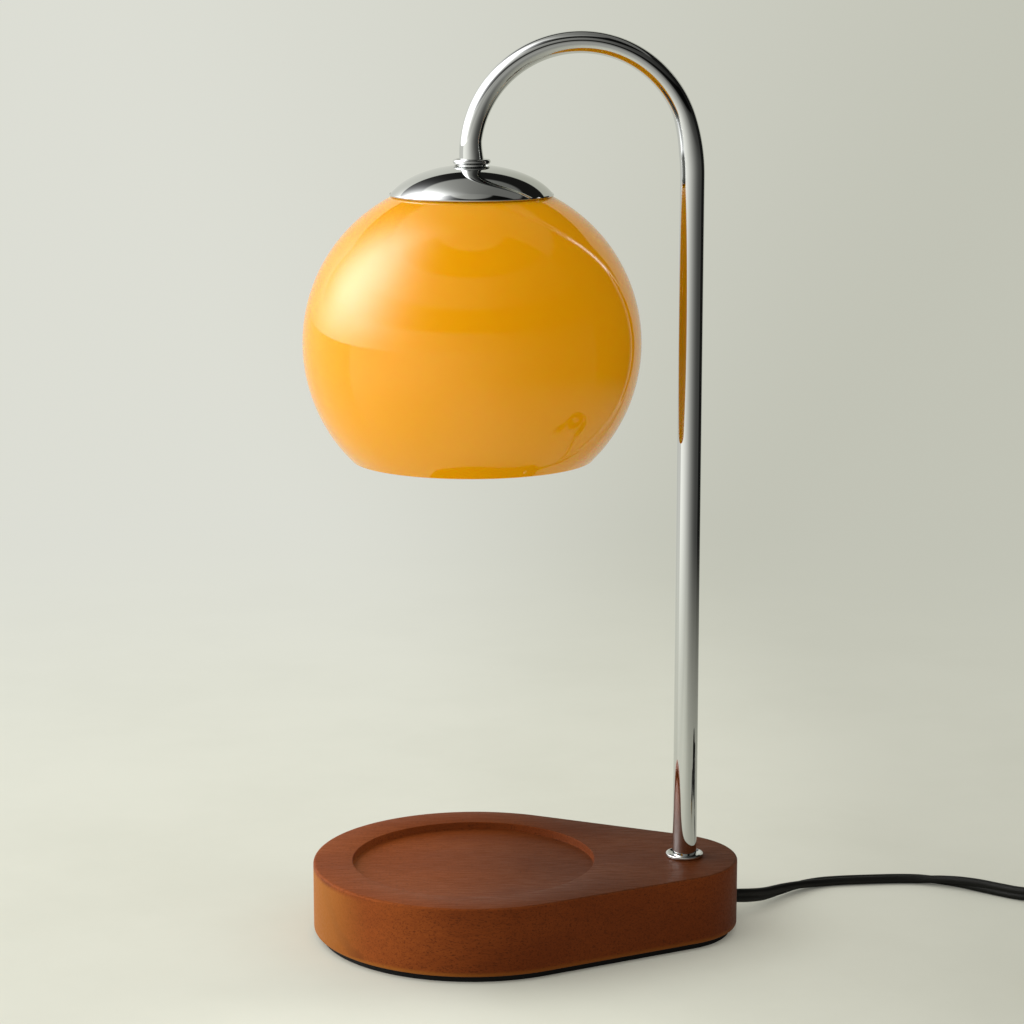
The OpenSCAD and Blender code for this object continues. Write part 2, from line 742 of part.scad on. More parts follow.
module dimmer_top() {
    color("#202020") difference() {
        union() {
            difference() {
                dimmer_shell(split_z, dimmer_h);
                dimmer_hollow(split_z - 1, dimmer_h - dimmer_wall);
            }
            for (p = dimmer_screw_at) translate([dimmer_x + p.x, dimmer_y + p.y, split_z])
                cylinder(r = 2.6, h = dimmer_h - split_z - 1);
            translate([wheel_x, wheel_y, wheel_z + wheel_t + 0.8])
                cylinder(r = 5, h = dimmer_h - wheel_z - wheel_t - 1);
        }
        dimmer_cuts();
        for (p = dimmer_screw_at) translate([dimmer_x + p.x, dimmer_y + p.y, 0])
            cylinder(r = 1.25, h = split_z + 5);
        translate([wheel_x, wheel_y, 0]) cylinder(r = shaft_r + slit, h = dimmer_h - 1.4);
    }
}

// Thumb wheel with a notched rim, on its own shaft.
module dimmer_wheel() {
    color("#2c2c2c") translate([wheel_x, wheel_y, 0]) difference() {
        union() {
            translate([0, 0, wheel_z]) cylinder(r = wheel_r, h = wheel_t);
            translate([0, 0, 4.8]) cylinder(r = shaft_r, h = dimmer_h - 2 - 4.8);
        }
        for (a = [0 : 15 : 345]) rotate([0, 0, a]) translate([wheel_r + 0.3, 0, wheel_z - 1])
            cylinder(r = 0.8, h = wheel_t + 2);
    }
}

// Potentiometer body, with a bush for the shaft.
module dimmer_pot() {
    color("steelblue") translate([wheel_x, wheel_y, 0]) ring(6, shaft_r + slit, 4.2, 2.4);
}

module dimmer_board() {
    color("darkgreen") difference() {
        union() {
            translate([dimmer_x + 12, dimmer_y - 5.5, 3]) cube([26, 15, 1.2]);
            translate([dimmer_x + 14, dimmer_y - 5, 4.2]) cube([5, 4.4, 3]);
            translate([dimmer_x + 34, dimmer_y - 2.5, 4.2]) cylinder(r = 2, h = 2.6);
            for (x = [15, 35]) translate([dimmer_x + x, dimmer_y + 6, 1]) cylinder(r = 1.5, h = 2.5);
        }
        translate([0, 0, 1 - far]) cube([far * 3, far, 2 * far + 1.2], center = true);
    }
}

// Two terminal blocks, where the cord's cores are clamped.
module dimmer_terminals() {
    color("mintcream") for (x = [dimmer_x + 5, dimmer_x + dimmer_l - 11])
        translate([x, dimmer_y - 4.5, dimmer_wall]) cube([6, 9, 6.4]);
}

module dimmer_screws() {
    color("silver") for (p = dimmer_screw_at) translate([dimmer_x + p.x, dimmer_y + p.y, 0.4]) {
        cylinder(r = 2, h = 1.4);
        translate([0, 0, 1.4]) cylinder(r = 1.2, h = 10.6);
    }
}

// Moulded body and its tapered sleeve.
module plug_body() {
    color("#202020") translate([plug_x, plug_y, plug_z]) rotate([0, -90, 0]) {
        translate([0, 0, 8]) pill_box(plug_h, plug_w, plug_l - 8, 4);
        translate([0, 0, 2]) pill_box(plug_h - 1, plug_w - 4, 6, 4);
        translate([0, 0, -sleeve_l]) cylinder(r1 = 3.4, r2 = 5.2, h = sleeve_l + 4);
    }
}

module plug_blades() {
    color("gold") for (s = [-1, 1]) translate([plug_x - plug_l - 17, plug_y + s * blade_pitch / 2 - 0.75,
        plug_z - 3.175]) difference() {
            cube([17, 1.5, 6.35]);
            translate([4.5, -1, 3.175]) rotate([-90, 0, 0]) cylinder(r = 1.5, h = 4);
        }
}

base_block();
base_pad();
base_washer();
base_lock_washer();
base_nut();
foot_stud();
foot_flange();
post_tube();
cord_clamp();
clamp_screws();
cord_inner();
crimp_caps();
lamp_wires();
neck_fitting();
neck_washer();
shade_cap();
cap_gasket();
neck_spacer();
shade_gallery();
shade_ring();
ring_gasket();
neck_lock_washer();
neck_nut();
socket_bracket();
lamp_socket();
socket_screws();
socket_contacts();
glass_shade();
bulb_base();
bulb_pins();
bulb_reflector();
bulb_lens();
bulb_capsule();
cord_lead();
dimmer_bottom();
dimmer_top();
dimmer_wheel();
dimmer_pot();
dimmer_board();
dimmer_terminals();
dimmer_screws();
cord_link();
cord_coil();
coil_tie();
cord_tail();
plug_body();
plug_blades();
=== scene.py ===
# Warmer lamp: a glass globe shade with its bulb hangs from a chromed gooseneck over a
# wooden base, and a flat black cord leads to a thumb-wheel dimmer and a plug. Camera and
# cord come first, then the studio, and then the lamp from its base up to the bulb, the
# dimmer and the plug. Sizes in millimetres are turned into metres where a mesh is made.
import math

import bmesh
import bpy
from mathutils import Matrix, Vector


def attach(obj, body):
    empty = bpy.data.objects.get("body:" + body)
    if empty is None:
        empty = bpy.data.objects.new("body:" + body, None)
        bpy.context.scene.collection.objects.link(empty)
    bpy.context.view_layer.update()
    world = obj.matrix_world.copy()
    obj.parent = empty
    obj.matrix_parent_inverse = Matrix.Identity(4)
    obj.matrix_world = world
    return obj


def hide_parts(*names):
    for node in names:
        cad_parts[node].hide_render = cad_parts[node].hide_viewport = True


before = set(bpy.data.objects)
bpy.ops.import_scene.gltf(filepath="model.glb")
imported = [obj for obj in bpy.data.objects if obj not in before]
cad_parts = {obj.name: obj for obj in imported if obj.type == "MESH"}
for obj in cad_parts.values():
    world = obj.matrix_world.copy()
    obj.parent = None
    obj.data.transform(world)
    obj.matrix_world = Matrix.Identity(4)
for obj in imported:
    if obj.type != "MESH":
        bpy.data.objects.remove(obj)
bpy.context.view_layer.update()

# ---------------------------------------------------------------- Camera
# A long lens about a metre in front of the lamp, slightly above the shade and looking
# down by 10.9 degrees, as worked out from the circles and upright edges of the picture.
LENS, LOOKS_DOWN, LOOKS_RIGHT = 100.314, 10.87, 1.843
camera = bpy.data.objects.new("camera", bpy.data.cameras.new("camera"))
bpy.context.collection.objects.link(camera)
camera.data.lens = LENS
camera.data.sensor_width = 36
camera.location = (-0.01828, -1.01001, 0.35135)
camera.rotation_euler = (math.radians(90 - LOOKS_DOWN), 0, math.radians(-LOOKS_RIGHT))
camera.data.clip_start, camera.data.clip_end = 0.05, 60
bpy.context.scene.camera = camera
bpy.context.scene.view_settings.view_transform = "Standard"

# ---------------------------------------------------------------- Mains cord
# Flat two-core cord in black vinyl, 5.2 mm wide and 3 mm thick, with a groove between
# its cores. One length runs from the hole in the wood to the dimmer, the other from the
# dimmer through the stored coil to the plug.
MM = 0.001
CORD_WIDE, CORD_THICK = 5.2, 3.0
COIL_X, COIL_Y, COIL_R = 283, -34, 37
# the points of a route are x, y, z and the roll in degrees
lead_route = [(94.74, 12.47, 7.4, 0), (100, 15.4, 6.7, 0), (104.6, 18.8, 5.6, 0),
    (111, 25.2, 4, 15), (118.6, 33, 3.2, 40), (126.6, 40, 2.5, 70), (135, 45.2, 1.8, 90),
    (143, 47.2, 1.7, 90), (151, 48, 1.7, 90), (159, 48.5, 1.7, 90), (167, 48.7, 1.7, 90),
    (174.6, 47.8, 1.8, 85), (182, 45, 2.2, 60), (189, 40.9, 2.6, 35), (195.7, 36.2, 2.7, 10),
    (202.4, 31.3, 2.6, 0), (209, 26.4, 2.7, 0), (215.4, 22.9, 3.3, 0), (221.4, 21.3, 4.4, 0),
    (226.8, 21, 5.4, 0), (232, 21, 5.6, 0), (237, 21, 5.6, 0)]
link_route = [(277, 21, 5.6, 0), (282, 21, 5.6, 0), (289, 21, 5.1, 0), (296, 21, 4.3, 0),
    (305.2, 19.2, 3.7, 0), (313, 14, 3.6, 0), (318.2, 6.2, 3.6, 0), (320, -3, 3.6, 0),
    (320, -14, 3.6, 0), (320, -24, 3.6, 0), (320, -34, 3.6, 0)]
tail_route = [(283, -71, 9.4, 0), (279, -71, 9.4, 0), (273, -71, 8.6, 0), (267, -71, 7.1, 0),
    (262, -71, 6.75, 0)]


def coil_route(step=3.6, low=3.6, rise=5.8, turns=8.25, per_turn=48):
    """In along the lower layer, up in the innermost half turn, out along the upper one."""
    def loops_out(u):
        return 0 if u < 0.25 else 2 * (u - 0.25) if u < 0.75 else u + 0.25
    half = turns / 2
    inner = COIL_R - step * loops_out(half)
    route = []
    for i in range(int(turns * per_turn) + 1):
        u = i / per_turn - half
        climb = min(max((u + 0.25) / 0.5, 0), 1)
        radius = inner + step * loops_out(abs(u))
        angle = -2 * math.pi * (u + half)
        route.append((COIL_X + radius * math.cos(angle), COIL_Y + radius * math.sin(angle),
            low + rise * climb * climb * (3 - 2 * climb), 0))
    return route


def through(route, parts=4):
    """Points of one smooth curve through all points of a route."""
    before = [2 * a - b for a, b in zip(route[0], route[1])]
    after = [2 * a - b for a, b in zip(route[-1], route[-2])]
    row = [before, *route, after]
    fine = []
    for i in range(1, len(row) - 2):
        for k in range(parts):
            t = k / parts
            fine.append([0.5 * (2 * b + (c - a) * t + (2 * a - 5 * b + 4 * c - d) * t * t
                + (3 * b - a - 3 * c + d) * t ** 3) for a, b, c, d in zip(*row[i - 1:i + 3])])
    return fine + [list(route[-1])]


def shell(name, rings, looped=False, capped=True):
    """A smooth mesh through rings of equally many points in millimetres."""
    count = len(rings[0])
    points = [[c * MM for c in p] for ring in rings for p in ring]
    faces = []
    for i in range(len(rings) - (0 if looped else 1)):
        a, b = i * count, (i + 1) % len(rings) * count
        for k in range(count):
            n = (k + 1) % count
            faces.append((a + k, a + n, b + n, b + k))
    if capped and not looped:
        faces.append(tuple(reversed(range(count))))
        faces.append(tuple(range((len(rings) - 1) * count, len(rings) * count)))
    mesh = bpy.data.meshes.new(name)
    mesh.from_pydata(points, [], faces)
    tidy = bmesh.new()
    tidy.from_mesh(mesh)
    bmesh.ops.remove_doubles(tidy, verts=tidy.verts, dist=1e-7)
    bmesh.ops.recalc_face_normals(tidy, faces=tidy.faces)
    tidy.to_mesh(mesh)
    tidy.free()
    mesh.shade_smooth()
    mesh.set_sharp_from_angle(angle=math.radians(40))
    piece = bpy.data.objects.new(name, mesh)
    bpy.context.collection.objects.link(piece)
    return piece


def cord_tube(name, route, sides=28):
    """Sweeps the grooved outline of the flat cord; roll 0 stands it on edge."""
    core, apart = CORD_THICK / 2, (CORD_WIDE - CORD_THICK) / 2
    outline = []
    for k in range(sides):
        a = 2 * math.pi * (k + 0.5) / sides
        reach = apart * abs(math.cos(a)) + math.sqrt(core ** 2 - (apart * math.sin(a)) ** 2)
        outline.append((reach * math.cos(a), reach * math.sin(a)))
    rings, last = [], len(route) - 1
    for i, (x, y, z, roll) in enumerate(route):
        before, after = route[max(i - 1, 0)], route[min(i + 1, last)]
        # the first and last outline stand upright
        climb = 0 if i in (0, last) else after[2] - before[2]
        along = Vector((after[0] - before[0], after[1] - before[1], climb)).normalized()
        side = Vector((-along.y, along.x, 0)).normalized()
        up = along.cross(side)
        c, s = math.cos(math.radians(roll)), math.sin(math.radians(roll))
        across, wide = side * c + up * s, up * c - side * s
        rings.append([Vector((x, y, z)) + wide * w + across * t for w, t in outline])
    return shell(name, rings)


lead_fine = through(lead_route)
supply_fine = through(link_route) + coil_route()[1:-1] + through(tail_route)
cord_lead = cord_tube("flat_cord_lead", lead_fine)
cord_supply = cord_tube("flat_cord_supply", supply_fine, 20)

# ---------------------------------------------------------------- Studio
# Plain pale floor that fades into a pale surround, one large soft window of light to the
# left, and a dim room in front and to the right that only polished parts show.
def new_node(tree, kind, **settings):
    node = tree.nodes.new(kind)
    for key, value in settings.items():
        setattr(node, key, value)
    return node


def feed(tree, socket, value):
    """Feeds a socket from another node, or sets its own value."""
    if isinstance(value, bpy.types.NodeSocket):
        tree.links.new(value, socket)
    else:
        socket.default_value = value


def reckon(tree, operation, *values):
    """One step of arithmetic."""
    node = new_node(tree, "ShaderNodeMath", operation=operation)
    for socket, value in zip(node.inputs, values):
        feed(tree, socket, value)
    return node.outputs[0]


def fade(tree, value, low, high, start=0.0, end=1.0):
    """A smooth step from start to end while value goes from low to high."""
    node = new_node(tree, "ShaderNodeMapRange", interpolation_type="SMOOTHSTEP")
    feed(tree, node.inputs["Value"], value)
    feed(tree, node.inputs["From Min"], low)
    feed(tree, node.inputs["From Max"], high)
    feed(tree, node.inputs["To Min"], start)
    feed(tree, node.inputs["To Max"], end)
    return node.outputs["Result"]


def blend(tree, factor, a, b, kind="MIX"):
    node = new_node(tree, "ShaderNodeMix", data_type="RGBA", blend_type=kind)
    feed(tree, node.inputs["Factor"], factor)
    feed(tree, node.inputs[6], a)
    feed(tree, node.inputs[7], b)
    return node.outputs[2]


def split(tree, vector):
    """The three parts of a vector."""
    axes = new_node(tree, "ShaderNodeSeparateXYZ")
    feed(tree, axes.inputs[0], vector)
    return axes.outputs


def noise(tree, place, scale, detail, roughness=0.5):
    node = new_node(tree, "ShaderNodeTexNoise")
    feed(tree, node.inputs["Vector"], place)
    node.inputs["Scale"].default_value = scale
    node.inputs["Detail"].default_value = detail
    node.inputs["Roughness"].default_value = roughness
    return node.outputs["Fac"]


def group(name, takes, gives):
    """An empty shader node group with named sockets."""
    tree = bpy.data.node_groups.new(name, "ShaderNodeTree")
    for label, kind, value in takes:
        socket = tree.interface.new_socket(label, in_out="INPUT", socket_type=kind)
        if value is not None:
            socket.default_value = value
    for label, kind in gives:
        tree.interface.new_socket(label, in_out="OUTPUT", socket_type=kind)
    return tree, tree.nodes.new("NodeGroupInput").outputs, tree.nodes.new("NodeGroupOutput").inputs


studio, takes, gives = group("studio_surroundings", [("Direction", "NodeSocketVector", None)],
    [("Pale", "NodeSocketColor"), ("Room", "NodeSocketColor"), ("Window", "NodeSocketColor")])


def sky(operation, *values):
    return reckon(studio, operation, *values)


x, y, z = split(studio, takes["Direction"])
turn = sky("ARCTAN2", x, y)
rise = sky("ARCSINE", z)
PALE_LEFT, PALE_RIGHT = (0.72, 0.728, 0.66, 1), (0.535, 0.542, 0.465, 1)
pale = blend(studio, fade(studio, x, -0.14, 0.26), PALE_LEFT, PALE_RIGHT)

# the window of light is tall, and brightest 80 degrees to the left and 28 degrees up
WINDOW_LEFT, WINDOW_UP, WINDOW_BRIGHT = 80, 28, 9.0


def off_centre(angle, below, above):
    """How far an angle lies from the window's middle, with a width for each side."""
    return sky("ADD", sky("DIVIDE", sky("MINIMUM", angle, 0.0), math.radians(below)),
        sky("DIVIDE", sky("MAXIMUM", angle, 0.0), math.radians(above)))


sideways = off_centre(sky("ADD", turn, math.radians(WINDOW_LEFT)), 34, 27)
upward = off_centre(sky("SUBTRACT", rise, math.radians(WINDOW_UP)), 25, 31)
spread = sky("ADD", sky("POWER", sky("ABSOLUTE", sideways), 2.0), sky("POWER", sky("ABSOLUTE", upward), 2.6))
window = sky("MULTIPLY", sky("EXPONENT", sky("MULTIPLY", spread, -1.0)), WINDOW_BRIGHT)

# the room in front is lighter on the left and dark on the right, with bands of ceiling
slope = sky("POWER", sky("MAXIMUM", sky("SUBTRACT", 1.0, x), 0.0), 1.6)
level = sky("MULTIPLY_ADD", slope, 0.42, 0.07)
bands = new_node(studio, "ShaderNodeValToRGB")
feed(studio, bands.inputs[0], sky("MULTIPLY_ADD", rise, 1 / math.pi, 0.5))
stops = [(0.0, 0.8), (0.502, 1.0), (0.515, 0.75), (0.575, 0.7), (0.585, 0.07), (0.66, 0.05),
    (0.68, 0.55), (0.79, 0.6), (0.8, 0.035), (0.905, 0.035), (0.915, 0.8), (1.0, 0.7)]
while len(bands.color_ramp.elements) < len(stops):
    bands.color_ramp.elements.new(0.5)
for stop, (place, grey) in zip(bands.color_ramp.elements, stops):
    stop.position, stop.color = place, (grey, grey, grey, 1)
upper_right = sky("MULTIPLY", fade(studio, rise, math.radians(5), math.radians(15)),
    fade(studio, x, 0.0, 0.45, 0, 0.45))
front = sky("MULTIPLY", sky("MULTIPLY", level, bands.outputs[0]), sky("SUBTRACT", 1.0, upper_right))

# an upright pale backdrop stands behind, up to 32 degrees high and 42 degrees to either
# side, and reaches further out at the bottom left
ahead = sky("MAXIMUM", y, 0.0001)
above = sky("DIVIDE", z, ahead)
aside = sky("DIVIDE", sky("ABSOLUTE", x), ahead)
longer = sky("MULTIPLY", fade(studio, above, 0.4, 0.1, 0, 0.2), fade(studio, x, 0.0, -0.2))
aside = sky("SUBTRACT", aside, longer)
paper = sky("MULTIPLY", fade(studio, aside, 0.93, 0.89), fade(studio, above, 0.645, 0.62))

# past it are a dim ceiling, paler on the left, and a low pale wall on the left
ceiling = sky("MULTIPLY", fade(studio, rise, math.radians(47.5), math.radians(51)),
    fade(studio, x, 0.3, -0.7, 0.17, 0.62))
low_left = sky("MULTIPLY", fade(studio, rise, math.radians(14), math.radians(4), 0, 0.8),
    fade(studio, x, -0.2, -0.6))
back = sky("ADD", sky("ADD", ceiling, low_left), 0.012)
behind = fade(studio, y, -0.02, 0.02)
room = sky("ADD", sky("MULTIPLY", front, sky("SUBTRACT", 1.0, behind)), sky("MULTIPLY", back, behind))
grey = new_node(studio, "ShaderNodeCombineColor")
for i, tint in enumerate((1.0, 1.0, 0.93)):
    feed(studio, grey.inputs[i], sky("MULTIPLY", room, tint))
white = new_node(studio, "ShaderNodeCombineColor")
for i in range(3):
    feed(studio, white.inputs[i], window)
feed(studio, gives["Pale"], pale)
feed(studio, gives["Room"], blend(studio, paper, grey.outputs[0], pale))
feed(studio, gives["Window"], white.outputs[0])

SOFT_FILL = (0.62, 0.595, 0.56, 1)


def surround(tree, direction, with_window=True):
    """Pale for the camera, room and window for reflections, a soft even fill for matt surfaces."""
    look = new_node(tree, "ShaderNodeGroup", node_tree=studio)
    feed(tree, look.inputs[0], direction)
    ray = new_node(tree, "ShaderNodeLightPath").outputs
    room_lit = blend(tree, ray["Is Diffuse Ray"], look.outputs["Room"], SOFT_FILL, "ADD")
    if with_window:
        room_lit = blend(tree, ray["Is Glossy Ray"], room_lit, look.outputs["Window"], "ADD")
    straight = reckon(tree, "MAXIMUM", ray["Is Camera Ray"], ray["Is Transmission Ray"])
    return blend(tree, straight, room_lit, look.outputs["Pale"])


world = bpy.data.worlds.new("studio")
bpy.context.scene.world = world
world.use_nodes = True
tree = world.node_tree
feed(tree, tree.nodes["Background"].inputs["Color"],
    surround(tree, new_node(tree, "ShaderNodeTexCoord").outputs["Generated"]))


def turns(steps):
    """Equally spaced angles once round."""
    return [math.tau * k / steps for k in range(steps)]


def ring_at(radius, z, angles):
    return [(radius * math.cos(a), radius * math.sin(a), z) for a in angles]


floor_radii = (0, 300, 700, 1200, 3000, 9000, 40000)
floor = shell("floor", [ring_at(r, 0, turns(96)) for r in floor_radii], capped=False)
paint = bpy.data.materials.new("pale_plaster_floor")
paint.use_nodes = True
paint.cycles.emission_sampling = "NONE"
floor.data.materials.append(paint)
tree = paint.node_tree
tree.nodes.clear()
place = new_node(tree, "ShaderNodeTexCoord").outputs["Object"]
mottle = noise(tree, place, 7.0, 6.0, 0.62)
PLASTER, PLASTER_DARK = (0.655, 0.665, 0.59, 1), (0.62, 0.63, 0.555, 1)
plaster = blend(tree, fade(tree, mottle, 0.35, 0.7), PLASTER, PLASTER_DARK)
# painted light lifts the floor right in front of the lamp, where the base's shadow falls,
# and painted shade makes it a little darker towards the right
x, y, z = split(tree, place)
painted_light_front = reckon(tree, "MULTIPLY", fade(tree, y, -0.055, -0.1), fade(tree, x, 0.11, 0.03))
painted_light_front = reckon(tree, "MULTIPLY", painted_light_front, fade(tree, x, -0.16, -0.05, 0, 0.16))
tone = reckon(tree, "ADD", painted_light_front, fade(tree, x, 0.09, 0.2, 1, 0.87))
matt = new_node(tree, "ShaderNodeBsdfDiffuse")
feed(tree, matt.inputs["Color"], blend(tree, 1.0, plaster, tone, "MULTIPLY"))
# further out it takes on the very tone of the surround, so that no horizon shows; near the
# lamp a small share of that glow stays, a painted light that lifts the shadows
outward = new_node(tree, "ShaderNodeVectorMath", operation="NORMALIZE")
feed(tree, outward.inputs[0], place)
distance = new_node(tree, "ShaderNodeVectorMath", operation="LENGTH")
feed(tree, distance.inputs[0], place)
glow = new_node(tree, "ShaderNodeEmission")
feed(tree, glow.inputs["Color"], surround(tree, outward.outputs[0], with_window=False))
mixed = new_node(tree, "ShaderNodeMixShader")
feed(tree, mixed.inputs[0], fade(tree, distance.outputs["Value"], 0.12, 0.85, 0.14, 1))
feed(tree, mixed.inputs[1], matt.outputs[0])
feed(tree, mixed.inputs[2], glow.outputs[0])
feed(tree, new_node(tree, "ShaderNodeOutputMaterial").inputs[0], mixed.outputs[0])

soft_window = bpy.data.lights.new("soft_window", "AREA")
soft_window.shape, soft_window.size, soft_window.size_y = "RECTANGLE", 2.6, 1.7
soft_window.energy, soft_window.color = 24.2, (0.96, 1.0, 1.0)
panel = bpy.data.objects.new("soft_window", soft_window)
bpy.context.collection.objects.link(panel)
panel.location = (-1.25, 0.02, 0.98)
panel.rotation_euler = Vector((1.25, -0.02, -0.8)).to_track_quat("-Z", "Y").to_euler()
panel.visible_glossy = False

# ---------------------------------------------------------------- Wooden base
# One teardrop block of fine-grained hardwood with a walnut stain and a satin lacquer.
# Its edges are eased, a shallow round recess is turned in its top, and the wiring pocket,
# the stud's hole and the cord's hole are cut from below and behind.
BASE_R, TAIL_R, TAIL_X, PAD_H, TOP_Z = 59, 29.5, 68, 2.5, 27.5
RECESS_R, RECESS_D, POCKET_R, POCKET_X, POCKET_D = 44.5, 3, 22, 48, 15
REACH = 78


def arc_points(x, radius, start, end, count):
    return [(x + radius * math.cos(math.radians(start + (end - start) * k / count)),
        radius * math.sin(math.radians(start + (end - start) * k / count))) for k in range(count + 1)]


def teardrop(inset, z, sides=16):
    """Outline round both ends, counterclockwise, as one ring of points."""
    lean = math.degrees(math.acos((BASE_R - TAIL_R) / TAIL_X))
    tail = arc_points(TAIL_X, TAIL_R - inset, -lean, lean, 48)
    head = arc_points(0, BASE_R - inset, lean, 360 - lean, 92)
    ring = tail[:-1]
    for a, b, arc in ((tail[-1], head[0], head[1:-1]), (head[-1], tail[0], [])):
        last = sides if b is head[0] else sides - 1
        ring += [(a[0] + (b[0] - a[0]) * k / sides, a[1] + (b[1] - a[1]) * k / sides)
            for k in range(last + 1)]
        ring += arc
    return [(x, y, z) for x, y in ring]


def eased_edge(z, ease, upward, arc=6):
    """Inset and height pairs that round an outer edge of a block."""
    steps = [math.pi / 2 * k / arc for k in range(arc + 1)]
    pairs = [(ease * (1 - math.cos(a)), z + (ease if upward else -ease) * (math.sin(a) - 1)) for a in steps]
    return pairs if upward else list(reversed(pairs))


def cut(piece, *cutters):
    """Cuts shapes out of a piece for good and removes them."""
    for cutter in cutters:
        tool = piece.modifiers.new("cut", "BOOLEAN")
        tool.operation, tool.solver, tool.object = "DIFFERENCE", "EXACT", cutter
    bpy.context.view_layer.update()
    seen = piece.evaluated_get(bpy.context.evaluated_depsgraph_get())
    mesh = bpy.data.meshes.new_from_object(seen)
    piece.modifiers.clear()
    piece.data = mesh
    mesh.shade_smooth()
    mesh.set_sharp_from_angle(angle=math.radians(38))
    for cutter in cutters:
        bpy.data.objects.remove(cutter)
    return piece


def rod(name, radius, start, end, steps=48):
    """A plain rod between two points, for cutting holes."""
    start, end = Vector(start), Vector(end)
    along = (end - start).normalized()
    side = along.orthogonal().normalized()
    other = along.cross(side)
    return shell(name, [[p + radius * (side * math.cos(a) + other * math.sin(a)) for a in turns(steps)]
        for p in (start, end)])


rings = [teardrop(inset, z) for inset, z in eased_edge(PAD_H, 0.8, False) + eased_edge(TOP_Z, 1.0, True)]
angles = [math.atan2(p[1], p[0]) for p in rings[-1]]
seat = TOP_Z - RECESS_D
recess = [(RECESS_R + 0.4, TOP_Z), (RECESS_R + 0.12, TOP_Z - 0.12), (RECESS_R, TOP_Z - 0.4),
    (RECESS_R, seat + 0.3), (RECESS_R - 0.1, seat + 0.1), (RECESS_R - 0.4, seat), (20, seat)]
rings += [ring_at(radius, z, angles) for radius, z in recess]
wood = shell("wood_base", rings)
pocket = arc_points(POCKET_X, POCKET_R, 90, 270, 32) + arc_points(TAIL_X, POCKET_R, -90, 90, 32)
CORD_HOLE_R, CORD_HOLE_Z, CORD_HOLE_AT = 3.2, 7.4, math.radians(25)
cut(wood, shell("pocket", [[(x, y, z) for x, y in pocket] for z in (PAD_H - 1, PAD_H + POCKET_D)]),
    rod("stud_hole", 4.2, (REACH, 0, 10), (REACH, 0, 40)),
    rod("cord_hole", CORD_HOLE_R, *[(TAIL_X + r * math.cos(CORD_HOLE_AT), r * math.sin(CORD_HOLE_AT),
        CORD_HOLE_Z) for r in (15, 40)]))

stain = bpy.data.materials.new("walnut_stained_wood")
stain.use_nodes = True
tree = stain.node_tree
look = tree.nodes["Principled BSDF"]
where = new_node(tree, "ShaderNodeTexCoord").outputs["Object"]


def mapped(key, value):
    """The place on the wood, shifted or scaled."""
    mapping = new_node(tree, "ShaderNodeMapping")
    mapping.inputs[key].default_value = value
    feed(tree, mapping.inputs["Vector"], where)
    return mapping.outputs[0]


def grain(scale, detail, roughness=0.55):
    """Noise drawn out along the length of the board."""
    return noise(tree, mapped("Scale", scale), 1.0, detail, roughness)


def both(a, b):
    return reckon(tree, "MULTIPLY", a, b)


fibres = grain((130, 1000, 900), 5)
pores = grain((800, 2600, 2000), 2, 0.75)
figure = grain((14, 34, 45), 4)
x, y, z = split(tree, where)
facing = split(tree, new_node(tree, "ShaderNodeNewGeometry").outputs["Normal"])
top_side = fade(tree, facing[2], 0.3, 0.9)
side = reckon(tree, "SUBTRACT", 1.0, top_side)
BOARD, BOARD_DARK = (0.262, 0.062, 0.012, 1), (0.21, 0.046, 0.009, 1)
FIBRE, PORE, RING_LINE = (0.13, 0.03, 0.008, 1), (0.06, 0.016, 0.005, 1), (0.09, 0.02, 0.008, 1)
colour = blend(tree, fade(tree, figure, 0.34, 0.66), BOARD, BOARD_DARK)
colour = blend(tree, both(fade(tree, fibres, 0.38, 0.7), 0.3), colour, FIBRE)
colour = blend(tree, fade(tree, pores, 0.5, 0.68, 0, 0.6), colour, PORE)
# growth rings show on the side of the wide end only
years = new_node(tree, "ShaderNodeTexWave", wave_type="RINGS", rings_direction="Y")
feed(tree, years.inputs["Vector"], mapped("Location", (0.012, 0, -0.032)))
for key, value in {"Scale": 7.0, "Distortion": 0.7, "Detail": 2.0, "Detail Scale": 7.0,
        "Phase Offset": 3.65}.items():
    years.inputs[key].default_value = value
lines = both(fade(tree, years.outputs["Fac"], 0.965, 1.0, 0, 0.45), fade(tree, x, -0.007, -0.016))
colour = blend(tree, both(lines, side), colour, RING_LINE)
# the side is lighter and more amber at the wide end and along the lower edge, and painted
# shade darkens the top and the side towards the narrow end, away from the window of light
AMBER, PAINTED_SHADE_TOP, PAINTED_SHADE_SIDE = (0.33, 0.115, 0.018, 1), (0.35, 0.37, 0.42, 1), (0.52, 0.46, 0.4, 1)
amber = both(both(fade(tree, x, -0.036, -0.056), fade(tree, z, 0.0268, 0.0245)), 0.8)
amber = reckon(tree, "MAXIMUM", amber, fade(tree, z, 0.0048, 0.0028, 0, 0.8))
colour = blend(tree, amber, colour, AMBER)
colour = blend(tree, both(top_side, fade(tree, x, -0.045, 0.045)), colour, PAINTED_SHADE_TOP, "MULTIPLY")
colour = blend(tree, both(side, fade(tree, x, -0.045, 0.015)), colour, PAINTED_SHADE_SIDE, "MULTIPLY")
feed(tree, look.inputs["Base Color"], colour)
feed(tree, look.inputs["Roughness"], fade(tree, fibres, 0.3, 0.7, 0.46, 0.58))
look.inputs["Specular IOR Level"].default_value = 0.08
look.inputs["Specular Tint"].default_value = (1.0, 0.8, 0.6, 1)
relief = new_node(tree, "ShaderNodeBump")
relief.inputs["Strength"].default_value = 0.18
relief.inputs["Distance"].default_value = 0.0001
feed(tree, relief.inputs["Height"], reckon(tree, "ADD", fibres, both(pores, 0.5)))
feed(tree, look.inputs["Normal"], relief.outputs[0])


def fit(piece, material, body, slot, *nodes):
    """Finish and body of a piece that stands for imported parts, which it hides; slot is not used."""
    piece.data.materials.clear()
    piece.data.materials.append(material)
    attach(piece, body)
    if nodes:
        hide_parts(*nodes)
    return piece


fit(wood, stain, "lamp", "stained_wood", "base_block")

